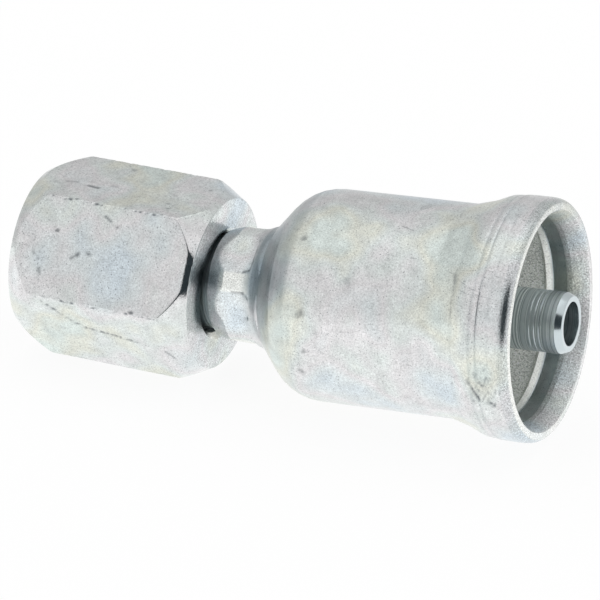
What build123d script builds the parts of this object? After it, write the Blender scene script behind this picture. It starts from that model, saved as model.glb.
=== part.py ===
# Crimp hose fitting for a 3/16 in hose, with a 7/16-20 swivel nut: nut, stem and crimp shell.
# Millimetres. Origin: centre of the nut's open face. +X runs along the nut's axis toward the hose
# mouth, and +Z is up, square to the nut flat that faces the table.
# The loose nut cocks on the stem, so the stem and the shell lean up toward the mouth.
import os
from math import atan, cos, degrees, radians, sin, tan

from build123d import *

# How the nut sits on the stem: the angle between their axes, and the gaps left between them
COCK_ANGLE = 4.16
NECK_PLAY = 0.165            # neck of the stem in the nut's hole
THRUST_PLAY = 0.3            # head of the stem to the nut's lip
HEAD_PLAY = 0.47             # head of the stem to the relief behind the thread
NOSE_PLAY = 0.71             # nose of the stem to the end of the thread
COLLAR_PLAY = 0.19           # back of the nut to the shell's collar

# Swivel nut
HEX_SIDES = 6
NUT_FLATS = 14.2875          # across flats, 9/16 in
NUT_LENGTH = 16.0
NUT_FACE_RADIUS = 6.83       # where the corner chamfers meet the open face
NUT_BACK_RADIUS = 7.0        # and the back face
NUT_CHAMFER_ANGLE = 30.0
THREAD_RADIUS = 4.93         # 7/16-20 UNF, at the thread's crests
THREAD_MOUTH_RADIUS = 5.7
LIP_LENGTH = 3.44            # the inturned lip that holds the nut on the stem
HOLE_EDGE = 0.45             # edge break of the hole at the back face

# Stem
HEAD_RADIUS = 4.85
HEAD_LAND = 2.6
HEAD_EDGE = 0.3
SEAT_LAND = 0.25             # flat nose left round the flare seat
SEAT_ANGLE = 37.0            # half angle of the flare seat
NECK_RADIUS = 3.8
SHANK_RADIUS = 3.3           # the collar is swaged on this
NIPPLE_RADIUS = 2.45
BORE_RADIUS = 1.74
NIPPLE_PROUD = 1.67          # how far the tip stands past the shell's mouth
TIP_CHAMFER = 0.5
TIP_CHAMFER_DROP = 0.3
GROOVE_COUNT = 3
GROOVE_PITCH = 0.42
GROOVE_WIDTH = 0.24
GROOVE_DEPTH = 0.1
GROOVE_BACK = 1.75           # from the tip back to the first groove

# Crimp shell
SHELL_LENGTH = 27.73
SHELL_RADIUS = 8.53
SHELL_WALL = 0.68
COLLAR_RADIUS = 4.85
COLLAR_LENGTH = 4.3
COLLAR_NOSE_LENGTH = 1.6      # the slightly tapered end that faces the nut
COLLAR_NOSE_DROP = 0.55
WAIST_FILLET = 2.2
SHOULDER_ANGLE = 48.0
SHOULDER_FILLET = 3.9
STOP_WALL = 0.49             # from the shoulder's outer corner to the face that the hose butts on
STOP_FILLET = 1.2

# Bell mouth of the shell: three flaring cones, then a straight band with a rolled edge
FLARE_LENGTHS = (1.73, 1.39, 1.25)
FLARE_RISES = (0.45, 0.57, 0.13)
BELL_STRAIGHT = 1.85
RIM_ROUND = 0.9              # radius of the rolled outer edge
RIM_ROUND_LENGTH = 0.71
RIM_LAND = 0.53              # width of the flat rim
THROAT_DEPTH = 1.53          # the tapered wall just inside the mouth
THROAT_TAPER = 0.74
LAND_LENGTH = 1.9            # the smooth ring behind it
LAND_BACK_LENGTH = 0.3
LAND_BACK_RISE = 0.24
FUNNEL_LENGTH = 2.5          # behind the ring the bore narrows to its own radius

# Grip ribs inside the shell
RIB_HEIGHT = 0.25
RIB_DEPTH = 8.0              # from the mouth to the first rib
RIB_LAND = 0.6
RIB_FLANK = 0.35
RIB_PITCH = 3.4

# Crimp flats pressed round the collar
FLAT_COUNT = 6
FLAT_LENGTH = 3.7
FLAT_FRONT_DEPTH = 0.31
FLAT_BACK_DEPTH = 0.27

OVERCUT = 1.0                # how far a cutter or an envelope runs past what it trims

# Stations along the axis, and radii that follow from the play
LEAN = radians(COCK_ANGLE)
LIP_FACE = NUT_LENGTH - LIP_LENGTH
PIVOT = NUT_LENGTH - LIP_LENGTH / 2
HOLE_RADIUS = NECK_RADIUS / cos(LEAN) + LIP_LENGTH / 2 * tan(LEAN) + NECK_PLAY
HEAD_BACK = LIP_FACE + HOLE_RADIUS - NECK_RADIUS - (HEAD_RADIUS + LIP_LENGTH) * sin(LEAN) - THRUST_PLAY
HEAD_SHOULDER = HEAD_BACK - (HEAD_RADIUS - NECK_RADIUS)
NOSE = HEAD_SHOULDER - HEAD_LAND
RELIEF_RADIUS = HEAD_RADIUS + (PIVOT - NOSE) * sin(LEAN) + HEAD_PLAY
THREAD_END = NOSE - NOSE_PLAY
COLLAR_NOSE_RADIUS = COLLAR_RADIUS - COLLAR_NOSE_DROP
COLLAR_FRONT = NUT_LENGTH + COLLAR_NOSE_RADIUS * sin(LEAN) + COLLAR_PLAY
WAIST = COLLAR_FRONT + COLLAR_LENGTH
SHOULDER = WAIST + (SHELL_RADIUS - COLLAR_RADIUS) / tan(radians(SHOULDER_ANGLE))
STOP_FACE = SHOULDER + STOP_WALL
MOUTH = COLLAR_FRONT + SHELL_LENGTH
TIP = MOUTH + NIPPLE_PROUD


def turned(outline):
    """Revolve a closed outline of (station, radius) points about the axis."""
    return revolve(make_face(Polyline(*outline, close=True)), axis=Axis.X)


def swivel_nut():
    corner = NUT_FLATS / 2 / cos(radians(180 / HEX_SIDES)) + OVERCUT
    slope = tan(radians(NUT_CHAMFER_ANGLE))
    hexagon = RegularPolygon(radius=NUT_FLATS / 2, side_count=HEX_SIDES, major_radius=False)
    blank = extrude(Plane.YZ * hexagon, amount=NUT_LENGTH)
    envelope = turned([
        (0, 0),
        (0, NUT_FACE_RADIUS),
        ((corner - NUT_FACE_RADIUS) / slope, corner),
        (NUT_LENGTH - (corner - NUT_BACK_RADIUS) / slope, corner),
        (NUT_LENGTH, NUT_BACK_RADIUS),
        (NUT_LENGTH, 0),
    ])
    inside = turned([
        (0, 0),
        (0, THREAD_MOUTH_RADIUS),
        (THREAD_MOUTH_RADIUS - THREAD_RADIUS, THREAD_RADIUS),
        (THREAD_END, THREAD_RADIUS),
        (THREAD_END + RELIEF_RADIUS - THREAD_RADIUS, RELIEF_RADIUS),
        (LIP_FACE - (RELIEF_RADIUS - HOLE_RADIUS), RELIEF_RADIUS),
        (LIP_FACE, HOLE_RADIUS),
        (NUT_LENGTH - HOLE_EDGE, HOLE_RADIUS),
        (NUT_LENGTH, HOLE_RADIUS + HOLE_EDGE),
        (NUT_LENGTH, 0),
    ])
    return (blank & envelope) - inside


def stem():
    seat_radius = HEAD_RADIUS - HEAD_EDGE - SEAT_LAND
    outline = [
        (NOSE, seat_radius),
        (NOSE, HEAD_RADIUS - HEAD_EDGE),
        (NOSE + HEAD_EDGE, HEAD_RADIUS),
        (HEAD_SHOULDER, HEAD_RADIUS),
        (HEAD_BACK, NECK_RADIUS),
        (COLLAR_FRONT, NECK_RADIUS),
        (COLLAR_FRONT, SHANK_RADIUS),
        (STOP_FACE, SHANK_RADIUS),
        (STOP_FACE + SHANK_RADIUS - NIPPLE_RADIUS, NIPPLE_RADIUS),
    ]
    for index in reversed(range(GROOVE_COUNT)):
        middle = TIP - GROOVE_BACK - index * GROOVE_PITCH
        outline += [
            (middle - GROOVE_WIDTH / 2, NIPPLE_RADIUS),
            (middle, NIPPLE_RADIUS - GROOVE_DEPTH),
            (middle + GROOVE_WIDTH / 2, NIPPLE_RADIUS),
        ]
    outline += [
        (TIP - TIP_CHAMFER, NIPPLE_RADIUS),
        (TIP, NIPPLE_RADIUS - TIP_CHAMFER_DROP),
        (TIP, BORE_RADIUS),
        (NOSE + (seat_radius - BORE_RADIUS) / tan(radians(SEAT_ANGLE)), BORE_RADIUS),
    ]
    return turned(outline)


def flare_outline():
    """Outer points of the bell, from the end of the plain cylinder to the rolled edge."""
    station = MOUTH - RIM_ROUND_LENGTH - BELL_STRAIGHT - sum(FLARE_LENGTHS)
    radius = SHELL_RADIUS
    points = [(station, radius)]
    for length, rise in zip(FLARE_LENGTHS, FLARE_RISES):
        station += length
        radius += rise
        points.append((station, radius))
    points.append((MOUTH - RIM_ROUND_LENGTH, radius))
    return points


def rib_outline(bore):
    """Inner points of the grip ribs, from the mouth inward, as many as the socket holds."""
    socket = MOUTH - RIB_DEPTH - STOP_FACE - STOP_FILLET
    points = []
    for index in range(int(socket / RIB_PITCH)):
        crest = MOUTH - RIB_DEPTH - index * RIB_PITCH
        points += [
            (crest + RIB_FLANK, bore),
            (crest, bore - RIB_HEIGHT),
            (crest - RIB_LAND, bore - RIB_HEIGHT),
            (crest - RIB_LAND - RIB_FLANK, bore),
        ]
    return points


def crimp_shell():
    bore = SHELL_RADIUS - SHELL_WALL
    bell = flare_outline()
    bell_radius = bell[-1][1]
    rim_radius = bell_radius - RIM_ROUND + (RIM_ROUND**2 - RIM_ROUND_LENGTH**2) ** 0.5
    throat = rim_radius - RIM_LAND
    land = throat - THROAT_TAPER
    land_back = MOUTH - THROAT_DEPTH - LAND_LENGTH - LAND_BACK_LENGTH
    outer = Polyline(
        (COLLAR_FRONT, COLLAR_NOSE_RADIUS),
        (COLLAR_FRONT + COLLAR_NOSE_LENGTH, COLLAR_RADIUS),
        (WAIST, COLLAR_RADIUS),
        (SHOULDER, SHELL_RADIUS),
        *bell,
    )
    rolled_edge = RadiusArc(bell[-1], (MOUTH, rim_radius), RIM_ROUND)
    inner = Polyline(
        (MOUTH, rim_radius),
        (MOUTH, throat),
        (MOUTH - THROAT_DEPTH, land),
        (land_back + LAND_BACK_LENGTH, land),
        (land_back, land + LAND_BACK_RISE),
        (land_back - FUNNEL_LENGTH, bore),
        *rib_outline(bore),
        (STOP_FACE, bore),
        (STOP_FACE, SHANK_RADIUS),
        (COLLAR_FRONT, SHANK_RADIUS),
        (COLLAR_FRONT, COLLAR_NOSE_RADIUS),
    )
    section = make_face(outer + rolled_edge + inner)
    rounds = {
        (WAIST, COLLAR_RADIUS): WAIST_FILLET,
        (SHOULDER, SHELL_RADIUS): SHOULDER_FILLET,
        (STOP_FACE, bore): STOP_FILLET,
    }
    for place, radius in rounds.items():
        corner = section.vertices().sort_by_distance(Vector(*place))[0]
        section = fillet(corner, radius)
    return revolve(section, axis=Axis.X) - crimp_jaws()


def crimp_jaws():
    """The jaws that press the flats, each a little deeper at the collar's front."""
    back = COLLAR_RADIUS - FLAT_BACK_DEPTH
    lean = degrees(atan((FLAT_FRONT_DEPTH - FLAT_BACK_DEPTH) / FLAT_LENGTH))
    jaw = Box(
        FLAT_LENGTH + OVERCUT,
        2 * COLLAR_RADIUS,
        COLLAR_RADIUS,
        align=(Align.MAX, Align.CENTER, Align.MIN),
    )
    jaw = Pos(COLLAR_FRONT + FLAT_LENGTH, 0, back) * Rot(0, -lean, 0) * jaw
    turn = 360 / FLAT_COUNT
    return [Rot((index + 0.5) * turn, 0, 0) * jaw for index in range(FLAT_COUNT)]


def cocked(piece):
    """Turn a piece about the middle of the nut's lip, so that its mouth end rises."""
    return Pos(PIVOT, 0, 0) * Rot(0, -COCK_ANGLE, 0) * Pos(-PIVOT, 0, 0) * piece


pieces = {
    "swivel_nut": swivel_nut(),
    "stem": cocked(stem()),
    "crimp_shell": cocked(crimp_shell()),
}

os.makedirs("parts", exist_ok=True)
for name, piece in pieces.items():
    export_step(piece, f"parts/{name}.step")
    print(name, round(piece.volume, 1), piece.bounding_box())
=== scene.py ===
from math import cos, pi, radians, sin, tan

import bpy
import numpy as np
from mathutils import Matrix, Vector


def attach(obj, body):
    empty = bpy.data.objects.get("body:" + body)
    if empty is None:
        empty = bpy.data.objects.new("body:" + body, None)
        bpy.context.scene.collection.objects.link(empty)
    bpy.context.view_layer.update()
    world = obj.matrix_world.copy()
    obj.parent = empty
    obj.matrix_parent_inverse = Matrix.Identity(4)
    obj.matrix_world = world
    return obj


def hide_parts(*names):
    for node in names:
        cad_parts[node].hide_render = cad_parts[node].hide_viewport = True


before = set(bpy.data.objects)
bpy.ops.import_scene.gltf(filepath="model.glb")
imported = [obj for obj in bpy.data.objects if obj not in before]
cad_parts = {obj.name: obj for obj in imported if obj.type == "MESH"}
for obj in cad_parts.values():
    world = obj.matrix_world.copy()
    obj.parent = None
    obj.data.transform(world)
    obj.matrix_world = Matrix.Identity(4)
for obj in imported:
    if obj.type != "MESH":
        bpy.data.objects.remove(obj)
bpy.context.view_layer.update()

# Crimp hose fitting: a hexagon swivel nut on a steel stem, with a zinc-plated shell that is
# crimped over the hose. The frame's origin is the middle of the nut's open face, +X runs
# toward the hose mouth and +Z is up. A station is a place along X. Sizes are in millimetres
# and bearings, from +Y toward +Z, in degrees, while meshes are in metres.
MM = 0.001


# Swivel nut. Cut from drawn hexagon bar, turned and threaded 7/16-20, then zinc plated and
# passivated. It hangs loose on the stem's neck by the inturned lip at its back, and turns.
NUT_FLATS = 14.2875
NUT_LENGTH = 16.0
NUT_FACE_RADIUS = 6.83
NUT_BACK_RADIUS = 7.0
NUT_CHAMFER = tan(radians(30))
NUT_EDGE_ROUND = 0.15
BACK_BEND = 0.17
BACK_BEND_LENGTH = 0.55
NUT_CORNER_ROUND = 0.16
NUT_CONE_BLEND = 0.05
THREAD_CREST = 4.93
THREAD_ROOT = 5.55
THREAD_PITCH = 1.27
THREAD_MOUTH = 5.7
THREAD_END = 7.6
RELIEF_RADIUS = 5.753
LIP_FACE = 12.56
HOLE_RADIUS = 4.1
HOLE_EDGE = 0.45
HALF_FLAT = NUT_FLATS / 2
NUT_COLUMNS = 68
CHAMFER_ROWS = 16
FLAT_ROWS = 96
THREAD_ROWS = 60


def eased_steps(count, pinch=0.35):
    """count steps from 0 to 1, closer together at both ends: t less pinch times sin(2 pi t) over pi."""
    t = np.linspace(0, 1, count, endpoint=False)
    return t - pinch * np.sin(2 * pi * t) / pi


def soft_min(a, b, blend):
    """The lesser of a and b. Where they differ by less than blend, it is lowered to round their
    meeting edge, by a quarter of blend times the square of 1 - difference / blend."""
    overlap = np.maximum(blend - np.abs(a - b), 0) / blend
    return np.minimum(a, b) - overlap**2 * blend / 4


def smooth(t):
    """0 below 0, 1 above 1, and the cubic 3t^2 - 2t^3 between."""
    t = np.clip(t, 0, 1)
    return t * t * (3 - 2 * t)


def ring_skin(name, station, radius, bearing):
    """A closed skin round the X axis: rows follow the section's outline and columns go round.
    A point is (station, radius cos bearing, radius sin bearing), with the bearing in radians. The
    last row joins the first, and the last column the first, so the skin has no edge."""
    points = np.stack([station, radius * np.cos(bearing), radius * np.sin(bearing)], axis=-1) * MM
    rows, columns = station.shape
    number = np.arange(rows * columns).reshape(rows, columns)
    down = np.roll(number, -1, axis=0)
    faces = np.stack([number, down, np.roll(down, -1, axis=1), np.roll(number, -1, axis=1)], axis=-1)
    faces = faces.reshape(-1, 4)
    corner = points.reshape(-1, 3)[faces]
    # this sum over three corners of each face has the volume's sign: below zero if they face in
    volume = np.einsum("ij,ij->i", corner[:, 0], np.cross(corner[:, 1], corner[:, 2])).sum()
    if volume < 0:
        faces = faces[:, ::-1]
    mesh = bpy.data.meshes.new(name)
    mesh.from_pydata(points.reshape(-1, 3), [], faces)
    mesh.shade_smooth()
    mesh.set_sharp_from_angle(angle=radians(28))
    piece = bpy.data.objects.new(name, mesh)
    bpy.context.collection.objects.link(piece)
    return piece


def point_values(piece, name, values):
    """Store one number for each point of the mesh, as an attribute that its material reads."""
    attribute = piece.data.attributes.new(name, "FLOAT", "POINT")
    attribute.data.foreach_set("value", np.asarray(values, np.float32).ravel())


def scars(points, starts, ends, widths, depths):
    """Sum of nicks and scratches: each is depth times exp(-(distance / width)^2), where distance
    is to the straight line from its start to its end. A nick starts and ends at one place."""
    total = np.zeros(points.shape[:-1])
    for start, end, width, depth in zip(starts, ends, widths, depths):
        line = end - start
        along = np.clip((points - start) @ line / max(line @ line, 1e-9), 0, 1)
        distance = ((points - start - along[..., None] * line) ** 2).sum(axis=-1)
        total += depth * np.exp(-distance / width**2)
    return total


def on_skin(station, radius, bearing):
    """The point (station, radius cos bearing, radius sin bearing), bearing in degrees."""
    bearing = np.radians(bearing)
    return np.stack([station, radius * np.cos(bearing), radius * np.sin(bearing)], axis=-1)


# Bearings go round in six equal sets, one for each flat, and are closer near the corners
sixth = pi / 3
across = eased_steps(NUT_COLUMNS, 0.2) * sixth
around = (np.arange(6)[:, None] * sixth + across).ravel()
from_middle = (around % sixth) - sixth / 2
flat_here = HALF_FLAT / np.cos(from_middle)
flat_next = HALF_FLAT / np.cos(sixth - np.abs(from_middle))
bar = soft_min(flat_here, flat_next, NUT_CORNER_ROUND)
# How far the chamfer at each end runs along the bar, at each bearing
front_depth = (bar - NUT_FACE_RADIUS) / NUT_CHAMFER
back_depth = (bar - NUT_BACK_RADIUS) / NUT_CHAMFER

# Rows run over the front chamfer, the flats and the back chamfer. Each face's edge is a small
# round that starts half its radius along the axis, where the chamfer's cone touches it.
face_edge = NUT_EDGE_ROUND / 2
down_chamfer = np.concatenate([eased_steps(CHAMFER_ROWS), [1]])[:, None]
front = down_chamfer * (front_depth - face_edge) + face_edge
body = eased_steps(FLAT_ROWS, 0.1)[1:, None] * (NUT_LENGTH - front_depth - back_depth) + front_depth
back = NUT_LENGTH - down_chamfer[::-1] * (back_depth - face_edge) - face_edge
outside = np.concatenate([front, body, back])
to_back = NUT_LENGTH - outside
cone = np.minimum(NUT_FACE_RADIUS + outside * NUT_CHAMFER, NUT_BACK_RADIUS + to_back * NUT_CHAMFER)
# The back edge of each flat is also bent in, as far as the lip was swaged
bent_in = BACK_BEND * np.clip(1 - to_back / BACK_BEND_LENGTH, 0, 1)
outside_radius = soft_min(bar - bent_in, cone, NUT_CONE_BLEND)

# Handling marks: small nicks all along the six corners, and the larger ones one by one, as
# station and bearing of both ends, width and depth. Plating fills part of each mark's depth.
rng = np.random.default_rng(11)
NICKS = 260
NICK_MARGIN = 1.8
UNFILLED = 0.7
NUT_MARKS = np.array(
    [
        (6.75, 120.3, 6.9, 120.2, 0.11, 0.12),
        (7.3, 120.6, 7.35, 120.4, 0.06, 0.05),
        (12.0, 105.0, 12.1, 105.0, 0.11, 0.07),
        (12.4, 111.0, 12.5, 111.0, 0.11, 0.07),
        (14.1, 76.0, 14.15, 76.0, 0.11, 0.06),
        (4.7, 100.2, 5.6, 101.2, 0.15, 0.08),
        (2.7, 99.5, 3.6, 98.2, 0.12, 0.04),
        (6.0, 152.7, 6.1, 151.0, 0.14, 0.08),
        (6.9, 149.3, 7.1, 150.5, 0.12, 0.07),
        (5.6, 154.5, 5.7, 154.0, 0.12, 0.06),
        (7.8, 125.6, 8.4, 128.1, 0.09, 0.07),
        (9.0, 130.5, 9.05, 130.5, 0.11, 0.07),
        (3.9, 138.8, 3.95, 138.8, 0.12, 0.10),
        (3.0, 164.5, 3.1, 167.0, 0.12, 0.05),
        (2.2, 154.2, 2.3, 156.0, 0.12, 0.04),
        (2.7, 158.0, 2.8, 159.0, 0.10, 0.04),
        (13.6, 213.0, 14.3, 219.0, 0.08, 0.07),
        (11.6, 179.0, 11.7, 179.0, 0.14, 0.08),
    ]
)
start_station, start_bearing, end_station, end_bearing, mark_width, mark_depth = NUT_MARKS.T


def on_hexagon(station, bearing):
    """A point on the flats of the bar: its radius is half the width across the flats, over the
    cosine of the bearing from the middle of a flat."""
    from_flat_middle = np.radians((bearing % 60) - 30)
    return on_skin(station, HALF_FLAT / np.cos(from_flat_middle), bearing)


# One long scratch across the lower facet, that skipped and left a chain of dots
SKIPS = 26
SCRATCH = np.array([(3.5, 183.6), (6.4, 202.3), (11.2, 208.3)])
skip_station = np.linspace(SCRATCH[0, 0], SCRATCH[-1, 0], SKIPS) + rng.normal(0, 0.1, SKIPS)
skip_bearing = np.interp(skip_station, SCRATCH[:, 0], SCRATCH[:, 1]) + rng.normal(0, 0.25, SKIPS)
skip_place = on_hexagon(skip_station, skip_bearing)
skip_line = on_hexagon(skip_station + rng.uniform(0, 0.25, SKIPS), skip_bearing + 0.2) - skip_place
nick_bearing = rng.integers(0, 6, NICKS) * 60 + rng.normal(0, 0.5, NICKS)
nick_station = rng.uniform(NICK_MARGIN, NUT_LENGTH - NICK_MARGIN, NICKS)
nick_place = on_skin(nick_station, HALF_FLAT / cos(sixth / 2) - NUT_CORNER_ROUND / 4, nick_bearing)
nick_length = np.outer(rng.uniform(0, 0.2, NICKS), (1, 0, 0))
skin = np.stack([outside, outside_radius * np.cos(around), outside_radius * np.sin(around)], axis=-1)
nut_scars = scars(
    skin,
    np.concatenate([on_hexagon(start_station, start_bearing), skip_place, nick_place]),
    np.concatenate(
        [
            on_hexagon(end_station, end_bearing),
            skip_place + skip_line,
            nick_place + nick_length,
        ]
    ),
    np.concatenate([mark_width, rng.uniform(0.08, 0.12, SKIPS), rng.uniform(0.06, 0.10, NICKS)]),
    np.concatenate(
        [
            UNFILLED * mark_depth,
            rng.uniform(0.02, 0.08, SKIPS),
            0.008 + 0.07 * rng.random(NICKS) ** 3,
        ]
    ),
)
outside_radius = outside_radius - nut_scars

# The rest of the section: round the back edge, over the back face, through the hole, the relief
# and the thread, and out over the front face and its edge
edge_angles = [radians(angle) for angle in (0, 15, 30, 45)]
edge = [(NUT_EDGE_ROUND * (1 - cos(a)), NUT_EDGE_ROUND * (sin(a) - NUT_CHAMFER)) for a in edge_angles]
thread = np.linspace(THREAD_MOUTH - THREAD_CREST, THREAD_END, THREAD_ROWS)[::-1]
inside = np.array(
    [(NUT_LENGTH - step, NUT_BACK_RADIUS + rise) for step, rise in reversed(edge)]
    + [
        (NUT_LENGTH, 6.7),
        (NUT_LENGTH, 6.0),
        (NUT_LENGTH, 5.4),
        (NUT_LENGTH, 4.9),
        (NUT_LENGTH, HOLE_RADIUS + HOLE_EDGE + 0.03),
        (NUT_LENGTH - 0.03, HOLE_RADIUS + HOLE_EDGE - 0.02),
        (NUT_LENGTH - HOLE_EDGE + 0.03, HOLE_RADIUS + 0.02),
        (NUT_LENGTH - HOLE_EDGE - 0.04, HOLE_RADIUS),
        (NUT_LENGTH - 1.2, HOLE_RADIUS),
        (NUT_LENGTH - 2.2, HOLE_RADIUS),
        (LIP_FACE, HOLE_RADIUS),
        (LIP_FACE - (RELIEF_RADIUS - HOLE_RADIUS), RELIEF_RADIUS),
        (10.0, RELIEF_RADIUS),
        (THREAD_END + RELIEF_RADIUS - THREAD_CREST, RELIEF_RADIUS),
    ]
    + [(station, THREAD_CREST) for station in thread]
    + [
        (0.4, THREAD_MOUTH - 0.4),
        (0.02, THREAD_MOUTH - 0.02),
        (0, THREAD_MOUTH + 0.03),
        (0, 6.2),
        (0, 6.6),
    ]
    + [(step, NUT_FACE_RADIUS + rise) for step, rise in edge]
)
inside_station = np.repeat(inside[:, :1], around.size, axis=1)
inside_radius = np.repeat(inside[:, 1:], around.size, axis=1)
# The groove between threads: a 60 degree V with a flat root, cut outward from the crest line.
# It follows a helix, one pitch a turn, and fades out over about half a turn at each end.
CREST_FLAT = 0.16 * THREAD_PITCH
ROOT_FLAT = 0.12 * THREAD_PITCH
FADE_START = 0.3
FADE_IN = 0.7
FADE_OUT = 0.6
phase = (inside_station / THREAD_PITCH - around / (2 * pi)) % 1
to_crest = (THREAD_PITCH - CREST_FLAT) / 2 - np.abs(phase - 0.5) * THREAD_PITCH
groove = smooth(to_crest / ((THREAD_PITCH - CREST_FLAT - ROOT_FLAT) / 2))
threaded = (inside_radius == THREAD_CREST) * smooth((THREAD_END - inside_station) / FADE_OUT)
run_in = smooth((inside_station - FADE_START) / FADE_IN)
inside_radius = inside_radius + (THREAD_ROOT - THREAD_CREST) * groove * threaded * run_in

nut = ring_skin(
    "swivel_nut_plated",
    np.concatenate([outside, inside_station]),
    np.concatenate([outside_radius, inside_radius]),
    np.broadcast_to(around, (outside.shape[0] + inside.shape[0], around.size)),
)
# What the plating's material reads. turned is 1 on turned faces, which are smoother and carry
# rings, and 0 on the drawn flats of the bar. lathe is the place that the rings follow.
on_cone = np.maximum(smooth((bar - cone + 0.02) / 0.04), to_back < BACK_BEND_LENGTH)
turned = np.concatenate([on_cone, np.ones(inside_station.shape)])
point_values(nut, "turned", turned)
point_values(nut, "lathe", np.concatenate([outside, inside_station + inside_radius - NUT_FACE_RADIUS]))
# dull and grainy in the bore and the thread. Painted shade on the back face near the hole, darkest
# at the side that the stem leans to, where the collar's shadow and reflection fall
in_bore = (inside_radius < 5.8) & (inside_station > 0.3) & (inside_station < NUT_LENGTH - HOLE_EDGE)
point_values(nut, "dull", np.concatenate([np.zeros(outside.shape), 0.6 * in_bore]))
is_back = (inside_station > NUT_LENGTH - 0.02) & (inside_radius > HOLE_RADIUS + HOLE_EDGE)
beside_collar = smooth(1.6 * np.cos(around - radians(160)) - 0.6)
shade_by_hole = is_back * (0.2 + (0.25 + 0.5 * beside_collar) * smooth((6.3 - inside_radius) / 1.3))
point_values(nut, "painted_shade", np.concatenate([np.zeros(outside.shape), shade_by_hole]))
point_values(nut, "grain", np.concatenate([1 - 0.4 * on_cone, 1 + in_bore + 0.6 * is_back]))
# One flat is pitted near the open end
by_open_end = smooth((4.5 - outside) / 3) * smooth((35 - np.abs(np.degrees(around) - 150)) / 10)
point_values(nut, "pitted", np.concatenate([0.5 * by_open_end, np.zeros(inside_station.shape)]))
point_values(nut, "scar", np.concatenate([np.clip(nut_scars / 0.05, 0, 1), np.zeros(inside_station.shape)]))


def linear(hexadecimal):
    """An sRGB colour written as six hex digits, as linear red, green, blue and alpha."""
    parts = [int(hexadecimal[i : i + 2], 16) / 255 for i in (1, 3, 5)]
    return [c / 12.92 if c <= 0.04045 else ((c + 0.055) / 1.055) ** 2.4 for c in parts] + [1]


def add(tree, kind, sockets=(), stops=(), output=0, **settings):
    """Add a shader node and return one of its outputs, by number or name. Settings go to the
    node's own values, and sockets, in order or by name, to its inputs, as numbers or links. Stops
    are the places and colours of a ramp."""
    node = tree.nodes.new("ShaderNode" + kind)
    for key, value in settings.items():
        setattr(node, key, value)
    for key, value in sockets.items() if isinstance(sockets, dict) else enumerate(sockets):
        if isinstance(value, bpy.types.NodeSocket):
            tree.links.new(value, node.inputs[key])
        else:
            node.inputs[key].default_value = value
    for index, (place, colour) in enumerate(stops):
        ramp = node.color_ramp.elements
        stop = ramp[index] if index < 2 else ramp.new(place)
        stop.position = place
        stop.color = linear(colour)
    return node.outputs[output] if node.outputs else None


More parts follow.
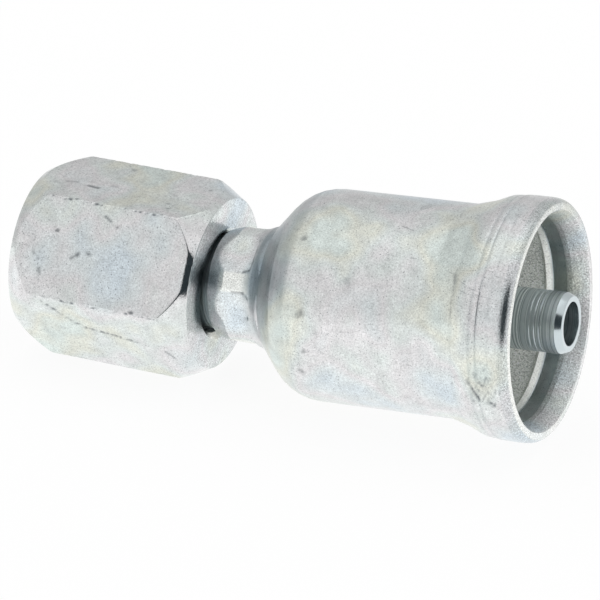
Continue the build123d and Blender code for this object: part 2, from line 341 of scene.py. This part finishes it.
def plated_steel(name):
    """Zinc plate with a clear passivate: pale silver, cloudy and finely speckled, with faint
    patches of yellow, pink, green and blue from the thin film, dark pits and hairline scratches.
    It is smoother where it was turned and dull and grainy inside bores. Painted light makes it paler
    in some places and painted shade makes it darker in others."""
    material = bpy.data.materials.new(name)
    material.use_nodes = True
    tree = material.node_tree
    tree.nodes.clear()
    place = add(tree, "TexCoord", output="Object")
    kept = ("turned", "dull", "scar", "painted_shade", "pale", "pitted", "grain", "lathe")
    of_mesh = [add(tree, "Attribute", attribute_name=each, output="Fac") for each in kept]
    is_turned, is_dull, is_scar, is_shaded, is_painted_light, is_pitted, grain, along = of_mesh

    # The film's tint changes over about 7 mm, from greenish to bluish, yellowish and pink
    film = add(tree, "TexNoise", {"Vector": place, "Scale": 1000 / 7.0, "Detail": 2.0})
    film_stops = [
        (0.32, "#DCE5E1"),
        (0.70, "#D8E2E8"),
        (0.40, "#E2E4DA"),
        (0.47, "#DEE4E2"),
        (0.54, "#E3E2E3"),
        (0.62, "#DEE4E5"),
    ]
    tint = add(tree, "ValToRGB", (film,), film_stops)
    # Painted light: the tint goes toward near white where the mesh's value asks for it
    tint = add(tree, "Mix", {0: is_painted_light, 6: tint, 7: linear("#F8FAF5")}, data_type="RGBA", output=2)

    # Clouds of 1.3 mm, speckles of 0.12 mm and rings of 0.5 mm make it lighter and darker
    sockets = {"Vector": place, "Scale": 1000 / 1.3, "Detail": 5.0, "Roughness": 0.75}
    cloud = add(tree, "TexNoise", sockets)
    sockets = {"Vector": place, "Scale": 1000 / 0.12, "Detail": 2.0, "Roughness": 0.65}
    speckle = add(tree, "TexNoise", sockets)
    sockets = {"W": along, "Scale": 1 / 0.5, "Detail": 6.0, "Roughness": 0.75}
    rings = add(tree, "TexNoise", sockets, noise_dimensions="1D")
    by_cloud = add(tree, "MapRange", (cloud, 0.3, 0.7, 0.81, 1.06))
    by_ring = add(tree, "MapRange", (rings, 0.3, 0.7, 0.96, 1.02))
    value = add(tree, "Math", (by_cloud, by_ring), operation="MULTIPLY")
    by_speckle = add(tree, "MapRange", (speckle, 0, 1, -0.525, 0.525))
    fleck = add(tree, "Math", (by_speckle, grain), operation="MULTIPLY")
    value = add(tree, "Math", (fleck, value, value), operation="MULTIPLY_ADD")
    settings = {"data_type": "RGBA", "blend_type": "MULTIPLY", "output": 2}
    mottled = add(tree, "Mix", {0: 1.0, 6: tint, 7: value}, **settings)

    # Pits of two sizes, one in each cell of a 3-D pattern, more of them where the plating is
    # grainy or pitted and in patches of about 3.5 mm
    gather = add(tree, "TexNoise", {"Vector": place, "Scale": 1000 / 3.5, "Detail": 3.0})
    worn = is_scar
    for cell_size, pit_size, least in ((0.55, 0.085, 1.45), (0.24, 0.06, 1.38)):
        distance = add(tree, "TexVoronoi", {"Vector": place, "Scale": 1000 / cell_size})
        cell_value = distance.node.outputs["Color"]
        edge = pit_size / cell_size
        dot = add(tree, "MapRange", (distance, 0.3 * edge, edge, 1, 0), interpolation_type="SMOOTHSTEP")
        chance = add(tree, "Math", (gather, 2.2, cell_value), operation="MULTIPLY_ADD")
        chance = add(tree, "Math", (grain, 0.12, chance), operation="MULTIPLY_ADD")
        chance = add(tree, "Math", (is_pitted, 0.6, chance), operation="MULTIPLY_ADD")
        depth = add(tree, "MapRange", (chance, least, least + 0.4, 0, 0.75))
        pits = add(tree, "Math", (dot, depth), operation="MULTIPLY")
        worn = add(tree, "Math", (worn, pits), operation="MAXIMUM")

    # Hairline scratches in two directions, where thin sheets of stretched noise cut the surface
    hair_depth = add(tree, "MapRange", (gather, 0.45, 0.65, 0, 0.5))
    for turn in ((0.2, 0.9, 0.3), (1.1, 0.4, 0.8)):
        sheet = add(tree, "Mapping", {"Vector": place, "Rotation": turn, "Scale": (1, 1, 18)})
        sockets = {"Vector": sheet, "Scale": 1000 / 2.4, "Detail": 1.0, "Distortion": 0.8}
        line = add(tree, "TexNoise", sockets)
        hair = add(tree, "MapRange", (line, 0.70, 0.76, 0, 1), interpolation_type="SMOOTHSTEP")
        hair = add(tree, "Math", (hair, hair_depth), operation="MULTIPLY")
        worn = add(tree, "Math", (worn, hair), operation="MAXIMUM")
    darkened = add(tree, "Math", (worn, 0.85), operation="MULTIPLY")
    sockets = {0: darkened, 6: mottled, 7: linear("#5E6368")}
    base = add(tree, "Mix", sockets, data_type="RGBA", output=2)
    # Painted shade: the colour is multiplied toward a darker blue grey where the mesh's value asks for it
    base = add(tree, "Mix", {0: is_shaded, 6: base, 7: linear("#B4BCC0")}, **settings)

    # Satin where drawn, smoother where turned, matt and less metallic where dull
    rough = add(tree, "MapRange", (cloud, 0.3, 0.7, 0.27, 0.35))
    rough = add(tree, "Mix", {0: is_turned, 2: rough, 3: 0.12}, data_type="FLOAT")
    rough = add(tree, "Mix", {0: is_dull, 2: rough, 3: 0.5}, data_type="FLOAT")
    metallic = add(tree, "Math", (is_dull, -0.8, 1.0), operation="MULTIPLY_ADD")
    pit_height = add(tree, "Math", (worn, -0.6), operation="MULTIPLY")
    height = add(tree, "Math", (speckle, grain, pit_height), operation="MULTIPLY_ADD")
    ring_height = add(tree, "Math", (is_turned, 0.4), operation="MULTIPLY")
    height = add(tree, "Math", (rings, ring_height, height), operation="MULTIPLY_ADD")
    bump = add(tree, "Bump", {"Height": height, "Strength": 0.5, "Distance": 0.015 * MM})
    sockets = {"Base Color": base, "Metallic": metallic, "Roughness": rough, "Normal": bump}
    add(tree, "OutputMaterial", (add(tree, "BsdfPrincipled", sockets),))
    return material


nut.data.materials.append(plated_steel("zinc_plated_drawn_bar"))
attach(nut, "swivel_nut")
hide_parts("swivel_nut")


# Stem. Turned from steel bar: a flared head that seals on the mating fitting, a neck for the
# nut, a shank that the shell is swaged on, and the nipple that goes into the hose.
COCK_ANGLE = 4.16
PIVOT = 14.28
STEM_COLUMNS = 144
NIPPLE_RADIUS = 2.45
STEM_BORE = 1.74
STEM_OUTLINE = [
    # station, radius, round
    (8.309, 4.3, 0.03),
    (8.309, 4.55, 0.05),
    (8.609, 4.85, 0.05),
    (10.909, 4.85, 0.1),
    (11.959, 3.8, 0.1),
    (16.502, 3.8, 0.05),
    (16.502, 3.3, 0.05),
    (24.605, 3.3, 0.1),
    (25.455, NIPPLE_RADIUS, 0.1),
    (45.402, NIPPLE_RADIUS, 0.1),
    (45.93, 2.2, 0.08),
    (45.93, STEM_BORE, 0.05),
    (11.706, STEM_BORE, 0.1),
]


def rounded(outline, arc_points=6):
    """Points round a closed outline of (station, radius, round): each corner becomes an arc that
    touches both its sides. The arc's centre lies round / sin(half) along the line that halves the
    corner, half being half its angle. From the centre, a point at t is the start times
    sin((1 - t) sweep) plus the end times sin(t sweep), over sin(sweep)."""
    corner = np.array([p[:2] for p in outline], float)
    size = np.array([p[2] for p in outline], float)
    to_before = np.roll(corner, 1, axis=0) - corner
    to_after = np.roll(corner, -1, axis=0) - corner
    to_before /= np.linalg.norm(to_before, axis=1)[:, None]
    to_after /= np.linalg.norm(to_after, axis=1)[:, None]
    half = np.arccos(np.clip((to_before * to_after).sum(axis=1), -1, 1)) / 2
    middle = to_before + to_after
    middle /= np.linalg.norm(middle, axis=1)[:, None]
    centre = corner + middle * (size / np.sin(half))[:, None]
    start = corner + to_before * (size / np.tan(half))[:, None] - centre
    end = corner + to_after * (size / np.tan(half))[:, None] - centre
    sweep = pi - 2 * half
    t = np.linspace(0, 1, arc_points)[None, :, None]
    turn = sweep[:, None, None]
    arc = (np.sin((1 - t) * turn) * start[:, None] + np.sin(t * turn) * end[:, None]) / np.sin(turn)
    return (centre[:, None] + arc).reshape(-1, 2)


def filled_in(outline, longest):
    """Points added on a closed outline, evenly on each of its steps, so that none is longer than
    longest, which is one length or one for each point."""
    after = np.roll(outline, -1, axis=0)
    length = np.linalg.norm(after - outline, axis=1)
    steps = np.maximum(np.ceil(length / longest).astype(int), 1)
    first = np.repeat(np.arange(len(outline)), steps)
    share = (np.arange(steps.sum()) - np.repeat(np.cumsum(steps) - steps, steps)) / np.repeat(steps, steps)
    return outline[first] + (after - outline)[first] * share[:, None]


def lean(piece):
    """Turn the mesh, about the middle of the nut's lip, by the angle at which the nut hangs on it."""
    pivot = Matrix.Translation((PIVOT * MM, 0, 0))
    piece.data.transform(pivot @ Matrix.Rotation(-radians(COCK_ANGLE), 4, "Y") @ pivot.inverted())


def turned_grid(section, columns):
    """The section's stations and radii, and even bearings in radians, as rows and columns."""
    bearing = np.arange(columns) * 2 * pi / columns
    shape = (len(section), columns)
    station = np.broadcast_to(section[:, :1], shape)
    radius = np.broadcast_to(section[:, 1:], shape)
    return station, radius, np.broadcast_to(bearing, shape)


section = filled_in(rounded(STEM_OUTLINE), 0.6)
# The end of the nipple that shows is turned: two waves along it, for the feed of the tool, and
# three grooves. It takes the place of the section's own points there.
TURNED = (36, 45.34)
TURNED_STEP = 0.035
WAVES = ((0.004, 0.14, 0), (0.003, 0.37, 1))
GROOVES = (43.312, 43.732, 44.152)
GROOVE_DEPTH = 0.03
GROOVE_WIDTH = 0.035
replaced = (section[:, 1] > NIPPLE_RADIUS - 0.01) & (section[:, 0] > TURNED[0]) & (section[:, 0] < 45.3)
nipple = np.arange(TURNED[1], TURNED[0], -TURNED_STEP)[::-1]
turning = sum(height * np.sin(2 * pi * nipple / length + start) for height, length, start in WAVES)
grooves = sum(np.exp(-(((nipple - middle) / GROOVE_WIDTH) ** 2)) for middle in GROOVES)
until_tip = smooth((44.5 - nipple) / 0.15)
nipple_radius = NIPPLE_RADIUS + (turning - 0.006) * until_tip - GROOVE_DEPTH * grooves
first = np.argmax(replaced)
nipple = np.stack([nipple, nipple_radius], axis=1)
section = np.concatenate([section[:first], nipple, section[first + replaced.sum() :]])
station, radius, bearing = turned_grid(section, STEM_COLUMNS)
stem = ring_skin("stem_turned", station, radius, bearing)
# The end is finely faced, and the neck inside the nut is darkened with painted shade
point_values(stem, "lathe", station)
point_values(stem, "fine", station > 45.3)
point_values(stem, "painted_shade", 0.7 * (station > 12) * (station < 17))
lean(stem)


def turned_steel(name):
    """Bare turned steel, slightly oily: dark silver grey, with fine tool lines round it every
    0.1 to 0.3 mm, some of them darker. Its chamfered end is finer and even."""
    material = bpy.data.materials.new(name)
    material.use_nodes = True
    tree = material.node_tree
    tree.nodes.clear()
    kept = ("lathe", "fine", "painted_shade")
    along, is_fine, is_shaded = [add(tree, "Attribute", attribute_name=each, output="Fac") for each in kept]
    sockets = {"W": along, "Scale": 1 / 0.13, "Detail": 3.0, "Roughness": 0.7}
    line = add(tree, "TexNoise", sockets, noise_dimensions="1D")
    line = add(tree, "Mix", {0: is_fine, 2: line, 3: 0.5}, data_type="FLOAT")
    base = add(tree, "ValToRGB", (line,), [(0.36, "#96A0A4"), (0.64, "#EAF0F1"), (0.5, "#C6D0D3")])
    # Painted shade on the neck, where the nut covers it
    sockets = {0: is_shaded, 6: base, 7: linear("#9AA3A6")}
    base = add(tree, "Mix", sockets, data_type="RGBA", blend_type="MULTIPLY", output=2)
    rough = add(tree, "MapRange", (line, 0.3, 0.7, 0.38, 0.27))
    rough = add(tree, "Mix", {0: is_fine, 2: rough, 3: 0.19}, data_type="FLOAT")
    bump = add(tree, "Bump", {"Height": line, "Strength": 0.6, "Distance": 0.02 * MM})
    sockets = {"Base Color": base, "Metallic": 1.0, "Roughness": rough, "Normal": bump}
    add(tree, "OutputMaterial", (add(tree, "BsdfPrincipled", sockets),))
    return material


stem.data.materials.append(turned_steel("bare_turned_steel"))
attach(stem, "hose_end")
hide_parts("stem")


# Crimp shell. Drawn and turned from steel tube, zinc plated: a collar crimped on the stem by
# six jaws, a shoulder, a plain cylinder for the crimp dies and a bell mouth with ribs inside.
COLLAR_FRONT = 16.502
COLLAR_RADIUS = 4.85
COLLAR_BORE = 3.3
SHELL_RADIUS = 8.53
BELL_RADIUS = 9.68
MOUTH = 44.232
STOP_FACE = 24.605
BORE = 7.85
RIB_CREST = 7.6
RIB_PITCH = 3.4
ROLL_RADIUS = 0.9
ROLL_START = MOUTH - 0.71
ROLL_SINK = 0.03
RIM_INNER = 8.802
LAND_FRONT = MOUTH - 1.8
LAND_RADIUS = 8.063
CREST = MOUTH - 3.41
SHELL_COLUMNS = 256
SHELL_OUTLINE = [
    # station, radius, round
    (COLLAR_FRONT, 4.3, 0.12),
    (COLLAR_FRONT + 1.6, COLLAR_RADIUS, 0.4),
    (20.802, COLLAR_RADIUS, 2.2),
    (24.115, SHELL_RADIUS, 3.9),
    (37.302, SHELL_RADIUS, 1.5),
    (39.032, 8.98, 0.8),
    (40.422, 9.55, 0.8),
    (41.672, BELL_RADIUS, 1.0),
    # the rolled edge starts slowly, over a large round, and so lies a little lower
    (MOUTH - 0.8, BELL_RADIUS, 2.8),
]
for angle in (10, 20, 30, 40):
    station = ROLL_START + ROLL_RADIUS * sin(radians(angle))
    drop = ROLL_SINK + ROLL_RADIUS * (1 - cos(radians(angle)))
    SHELL_OUTLINE.append((station, BELL_RADIUS - drop, 0.1))
SHELL_OUTLINE += [(MOUTH, 9.31, 0.04), (MOUTH, RIM_INNER, 0.04)]
# Inside the rim the wall flares, half as a cone and half as an arc that starts level
THROAT = MOUTH - LAND_FRONT
FLARE = RIM_INNER - LAND_RADIUS
flare_radius = (THROAT**2 + FLARE**2) / FLARE / 2
for share in (0.92, 0.76, 0.54, 0.28):
    ahead = share * THROAT
    arc_rise = flare_radius - (flare_radius**2 - ahead**2) ** 0.5
    cone_rise = FLARE * ahead / THROAT
    SHELL_OUTLINE.append((LAND_FRONT + ahead, LAND_RADIUS + (arc_rise + cone_rise) / 2, 0.2))
SHELL_OUTLINE += [
    # the smooth ring and the first rib's crest, which show in the mouth
    (41.9, 8.14, 0.6),
    (41.4, 8.15, 0.2),
    (CREST, 7.88, 0.04),
    (CREST - 0.3, 8.3, 0.1),
    (CREST - 2.8, BORE, 0.5),
]
for crest in MOUTH - 8 - RIB_PITCH * np.arange(3):
    SHELL_OUTLINE.append((crest + 0.35, BORE, 0.1))
    SHELL_OUTLINE.append((crest, RIB_CREST, 0.06))
    SHELL_OUTLINE.append((crest - 0.6, RIB_CREST, 0.06))
    SHELL_OUTLINE.append((crest - 0.95, BORE, 0.1))
SHELL_OUTLINE += [
    (STOP_FACE, BORE, 1.2),
    (STOP_FACE, COLLAR_BORE, 0.06),
    (COLLAR_FRONT, COLLAR_BORE, 0.06),
]
# A round too small to see is cut straight across, from the arc's start to its end
TOO_SMALL = 0.13
ARC_POINTS = 6
is_tiny = np.array([size for _, _, size in SHELL_OUTLINE])[:, None] < TOO_SMALL
is_arc_end = np.isin(np.arange(ARC_POINTS), (0, ARC_POINTS - 1))
outline = rounded(SHELL_OUTLINE, ARC_POINTS)[(~is_tiny | is_arc_end).ravel()]
# Rows are closest where marks and rings are pressed in, and far apart out of sight in the bore
on_outer = (np.arange(len(outline)) < np.argmax(outline[:, 0] > MOUTH - 0.001)) & (outline[:, 1] > 4)
outer_rows = np.where(outline[:, 0] > 38.5, 0.08, np.where(outline[:, 0] < 25, 0.13, 0.2))
inner_rows = np.where(outline[:, 0] > CREST - 0.5, 0.25, 0.9)
section = filled_in(outline, np.where(on_outer, outer_rows, inner_rows))
station, radius, bearing = turned_grid(section, SHELL_COLUMNS)
rim_row = np.argmax(section[:, 0] > MOUTH - 0.001)
is_outside = (np.arange(len(section)) < rim_row)[:, None] * np.ones(station.shape)

# The six jaws' flats: bearing of the middle, distance from the axis at the collar's front and at
# the flat's end, and the station of that end. Each flat is a plane, at distance / cos(bearing
# from its middle), and ends in a step with rounded corners.
FLAT_CORNER = 0.5
STEP_WIDTH = 0.12
STEP_RISE = 0.6
FLAT_EDGE_ROUND = 0.03
JAW_FLATS = [
    (0, 4.54, 4.60, 20.2),
    (60, 4.47, 4.53, 20.3),
    (122.5, 4.52, 4.56, 20.25),
    (177, 4.56, 4.70, 20.3),
    (240, 4.54, 4.58, 20.2),
    (300, 4.54, 4.60, 20.1),
]
is_collar = (radius > 3.6) & (station < 21.5) & (is_outside > 0)
for middle, front_distance, back_distance, end in JAW_FLATS:
    from_flat = (bearing - radians(middle) + pi) % (2 * pi) - pi
    along_flat = (station - COLLAR_FRONT) / (end - COLLAR_FRONT)
    distance = front_distance + (back_distance - front_distance) * along_flat
    half_width = np.sqrt(np.maximum(COLLAR_RADIUS**2 - distance**2, 0.01))
    sideways = np.maximum(np.abs(radius * np.sin(from_flat)) - half_width + FLAT_CORNER, 0)
    past_end = np.maximum(station - end + FLAT_CORNER, 0)
    outside_corner = (np.hypot(past_end, sideways) - FLAT_CORNER) / STEP_WIDTH
    rise = STEP_RISE * smooth(outside_corner) * (station > end - FLAT_CORNER)
    facing = np.cos(from_flat)
    plane = np.where(facing > 0.5, distance / np.maximum(facing, 0.5) + rise, 99)
    radius = np.where(is_collar, soft_min(radius, plane, FLAT_EDGE_ROUND), radius)

# Faint rings that the forming rolls left on the shoulder and the bell, as station, depth and width
ROLL_RINGS = [
    (24.9, 0.015, 0.14),
    (25.45, 0.012, 0.14),
    (39.4, 0.02, 0.16),
    (41.1, 0.035, 0.13),
    (41.68, 0.04, 0.09),
    (42.6, 0.01, 0.10),
]
ring_lines = np.zeros(station.shape)
for ring, depth, width in ROLL_RINGS:
    ring_lines += is_outside * depth * np.exp(-(((station - ring) / width) ** 2))
radius = radius - ring_lines

# Handling marks, as on the nut
SHELL_MARKS = np.array(
    [
        (25.7, 124.5, 25.8, 124.5, 0.16, 0.05),
        (26.6, 164.0, 26.7, 165.5, 0.20, 0.04),
        (26.3, 166.0, 26.4, 167.0, 0.16, 0.03),
        (26.7, 186.5, 26.75, 186.5, 0.14, 0.05),
        (26.1, 200.0, 26.3, 201.0, 0.16, 0.04),
        (30.2, 145.0, 30.4, 147.0, 0.24, 0.02),
        (39.1, 136.0, 39.25, 140.0, 0.16, 0.03),
        (39.2, 141.0, 39.3, 147.0, 0.08, 0.015),
        (39.2, 148.0, 39.3, 158.0, 0.07, 0.02),
        (41.2, 190.5, 41.7, 196.5, 0.11, 0.06),
        (42.5, 197.5, 42.9, 199.5, 0.11, 0.06),
        (40.9, 187.5, 41.0, 188.5, 0.14, 0.04),
        # the outlines that the corners of two jaws printed on the collar
        (18.96, 162.4, 19.9, 161.9, 0.10, 0.04),
        (19.9, 161.9, 20.23, 169.1, 0.10, 0.04),
        (20.23, 169.1, 20.18, 182.4, 0.10, 0.06),
        (20.18, 182.4, 20.13, 187.5, 0.10, 0.05),
        (20.13, 187.5, 18.13, 187.2, 0.10, 0.04),
        (20.09, 114.5, 20.26, 129.2, 0.10, 0.07),
        (20.26, 129.2, 20.17, 139.1, 0.10, 0.07),
        (20.17, 139.1, 19.73, 142.3, 0.10, 0.06),
    ]
)
# A patch of small pits on the lower side of the bell
PITS = 120
rng = np.random.default_rng(5)
pit_place = np.stack([rng.normal(42.4, 0.7, PITS), rng.normal(189, 5, PITS)], axis=-1)
pit_size = np.stack([rng.uniform(0.07, 0.1, PITS), rng.uniform(0.008, 0.032, PITS)], axis=-1)
SHELL_MARKS = np.concatenate([SHELL_MARKS, np.concatenate([pit_place, pit_place, pit_size], axis=1)])
start_station, start_bearing, end_station, end_bearing, mark_width, mark_depth = SHELL_MARKS.T
# From the collar's front corner to the rim, stations only grow, so a radius can be looked up
CORNER_ROWS = 6
skin_station, skin_radius = section[CORNER_ROWS:rim_row].T
skin = np.stack([station, radius * np.cos(bearing), radius * np.sin(bearing)], axis=-1)
shell_scars = scars(
    skin,
    on_skin(start_station, np.interp(start_station, skin_station, skin_radius), start_bearing),
    on_skin(end_station, np.interp(end_station, skin_station, skin_radius), end_bearing),
    mark_width,
    mark_depth,
)
radius = radius - shell_scars
shell = ring_skin("crimp_shell_plated", station, radius, bearing)
point_values(shell, "scar", np.clip(shell_scars / 0.05, 0, 1))
point_values(shell, "lathe", station)


def between(value, low, high, soft):
    """1 where value is from low to high, falling to 0 over soft on both sides."""
    return smooth((value - low) / soft + 1) * smooth((high - value) / soft + 1)


# What the plating's material reads. First the parts of the shell that look different.
is_wall = between(station, LAND_FRONT + 0.12, MOUTH - 0.05, 0.08) * (1 - is_outside)
is_bore = (station < CREST - 0.02) * (1 - is_outside)
is_ring = between(station, CREST - 0.02, 41.3, 0.1) * (1 - is_outside)
is_band = between(station, 41.3, LAND_FRONT, 0.1) * (1 - is_outside)
is_rim = station > MOUTH - 0.04
is_roll = between(station, ROLL_START, 45, 0.15) * is_outside
on_waist = between(station, 20.3, 24.6, 0.8) * is_outside
on_collar = between(station, 0, 20.3, 0.5) * is_outside
degree = np.degrees(bearing)
in_fillet = between(station, 20.7, 21.4, 0.3) * is_outside * (1 - smooth((degree - 172) / 12))

# Smoother where it was turned, and dull where the plating is thin or was never rubbed bright
turned = [0.4 * on_collar, 0.5 * is_roll, is_band, 0.8 * is_rim]
point_values(shell, "turned", np.maximum.reduce(turned))
dull = [0.6 * is_wall, is_bore, 0.3 * is_ring, 0.2 * on_waist, 0.45 * in_fillet]
point_values(shell, "dull", np.maximum.reduce(dull))

# Painted light: lightened in the bore and on the ring in place of the light that reaches in there, and
# painted highlights on the near side of the rim and on one ridge of the collar
highlight_side = 0.5 - 0.5 * np.cos(bearing)
ridge_highlight = between(station, 17.85, 20.2, 0.3) * between(degree, 145, 161, 3) * is_outside
pale = [is_bore, 0.8 * highlight_side * is_rim, is_ring, 0.8 * ridge_highlight]
point_values(shell, "pale", np.maximum.reduce(pale))

# Painted shade: darker round the waist and its fillet, most near bearing 150 and least on the low side,
# at the collar's nose, in the forming rings and inside the mouth, deepest where the throat starts. The
# rolled edge is a little darker too.
low_side = smooth((degree - 150) / 25)
middle_side = smooth(1 - np.abs(degree - 150) / 30)
waist_shade = np.minimum(on_waist * (0.5 - 0.45 * low_side + 0.35 * middle_side) + 0.6 * in_fillet, 1)
shade_at_nose = between(station, COLLAR_FRONT - 0.1, 17.3, 0.5) * between(degree, 149, 155, 9) * is_outside
throat_shade = is_wall * (1 - (station - LAND_FRONT) / THROAT)
painted_shade = [waist_shade, 0.8 * shade_at_nose, 0.3 * is_roll, 0.4 * throat_shade, is_band, 8 * ring_lines]
point_values(shell, "painted_shade", np.maximum.reduce(painted_shade))

# How strong the speckles are, against those on a drawn surface, and where the plating is pitted
grain = 1 - 0.5 * on_waist - 0.9 * is_band + 0.5 * is_roll + 1.4 * is_wall + 1.5 * is_bore
point_values(shell, "grain", grain)
pitted_patch = between(station, 41.2, 43.6, 0.5) * between(degree, 186, 202, 6)
pitted_collar = 0.6 * between(station, 17.5, 20.2, 0.5) * between(degree, 100, 165, 10)
point_values(shell, "pitted", np.maximum(pitted_patch, pitted_collar) * is_outside)
lean(shell)
shell.data.materials.append(plated_steel("zinc_plated_drawn_tube"))
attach(shell, "hose_end")
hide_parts("crimp_shell")


# Table. A white sweep under the fitting. The nut has play, so the fitting stands on the nut's
# front lower edge and on the bell, and the table leans that little from the nut's own axis.
REST_NUT = (0.544, -7.1438)
REST_BELL = (42.302, -7.6675)
TABLE_GAP = 0.01
HALF_TABLE = 1.5
fall = (REST_BELL[1] - REST_NUT[1]) / (REST_BELL[0] - REST_NUT[0])
edge_x = HALF_TABLE * np.array([-1, 1, 1, -1])
edge_y = HALF_TABLE * np.array([-1, -1, 1, 1])
edge_z = (REST_NUT[1] - TABLE_GAP) * MM + fall * (edge_x - REST_NUT[0] * MM)
table_mesh = bpy.data.meshes.new("table")
table_mesh.from_pydata(np.stack([edge_x, edge_y, edge_z], axis=-1), [], [(0, 1, 2, 3)])
table = bpy.data.objects.new("table", table_mesh)
bpy.context.collection.objects.link(table)


def white_sweep(name):
    """Matt white paper, lit from below so that the camera sees it white with a faint shadow. To
    the fitting it is brightest in front, and falls off 28 to 60 mm behind the nut's axis."""
    material = bpy.data.materials.new(name)
    material.use_nodes = True
    tree = material.node_tree
    tree.nodes.clear()
    matt = add(tree, "BsdfDiffuse", {"Color": linear("#F8F8F8")})
    seen = add(tree, "LightPath", output="Is Camera Ray")
    depth = add(tree, "SeparateXYZ", (add(tree, "TexCoord", output="Object"),), output="Y")
    lit = add(tree, "MapRange", (depth, 0.028, 0.06, 1.16, 0.82))
    strength = add(tree, "Mix", {0: seen, 2: lit, 3: 1.03}, data_type="FLOAT")
    glow = add(tree, "Emission", {"Color": (1, 1, 1, 1), "Strength": strength})
    add(tree, "OutputMaterial", (add(tree, "MixShader", (0.88, matt, glow)),))
    return material


table_mesh.materials.append(white_sweep("white_paper_sweep"))


# Light. A white tent with a dark opening for the camera, as product pictures of bright metal are
# taken, and one soft lamp above that gives the fitting its shadow. The tent stands in the world.
TO_CAMERA = Vector((0.3625, -0.8226, 0.4380))
OPENING = (cos(radians(30)), cos(radians(28)))
world = bpy.data.worlds.new("white_tent")
bpy.context.scene.world = world
world.use_nodes = True
tree = world.node_tree
tree.nodes.clear()
direction = add(tree, "TexCoord", output="Generated")
toward = add(tree, "VectorMath", (direction, TO_CAMERA), operation="DOT_PRODUCT", output="Value")
opening = add(tree, "MapRange", (toward, *OPENING, 0, 1), interpolation_type="SMOOTHSTEP")
# The tent's cloth is a little darker behind the fitting than on the camera's side
cloth = add(tree, "MapRange", (toward, -0.7, 0.7, 0.67, 0.93))
tent = add(tree, "Mix", {0: opening, 6: cloth, 7: linear("#323A3E")}, data_type="RGBA", output=2)
tent_light = add(tree, "Background", {"Color": tent, "Strength": 1.0})
white = add(tree, "Background", {"Color": (1, 1, 1, 1), "Strength": 1.0})
seen = add(tree, "LightPath", output="Is Camera Ray")
add(tree, "OutputWorld", (add(tree, "MixShader", (seen, tent_light, white)),))

lamp_data = bpy.data.lights.new("overhead_softbox", "AREA")
lamp_data.shape = "SQUARE"
lamp_data.size = 0.5
lamp_data.energy = 0.26
lamp = bpy.data.objects.new("overhead_softbox", lamp_data)
lamp.matrix_world = Matrix.Translation((0.0, 0.1, 0.6))
bpy.context.collection.objects.link(lamp)


# Camera. A long lens at the photograph's angle, 24 degrees round from the front and 26 above.
# It aims at a point to the right of the frame's origin and below it, to centre the fitting.
CAMERA_DISTANCE = 0.341973
AZIMUTH = radians(23.78)
ELEVATION = radians(25.98)
AIM_RIGHT = 0.0208165
AIM_UP = -0.0041707
FOCAL_PIXELS = 4165.5
IMAGE_PIXELS = 600
SENSOR = 36
right = Vector((cos(AZIMUTH), sin(AZIMUTH), 0))
back = Vector((sin(AZIMUTH) * cos(ELEVATION), -cos(AZIMUTH) * cos(ELEVATION), sin(ELEVATION)))
up = back.cross(right)
camera_data = bpy.data.cameras.new("camera")
camera_data.sensor_width = SENSOR
camera_data.lens = FOCAL_PIXELS / IMAGE_PIXELS * SENSOR
camera_data.clip_start = 0.01
camera_data.clip_end = 10
camera = bpy.data.objects.new("camera", camera_data)
turn = Matrix((right, up, back)).transposed().to_4x4()
camera.matrix_world = Matrix.Translation(right * AIM_RIGHT + up * AIM_UP + back * CAMERA_DISTANCE) @ turn
bpy.context.collection.objects.link(camera)
bpy.context.scene.camera = camera
bpy.context.scene.view_settings.view_transform = "Standard"
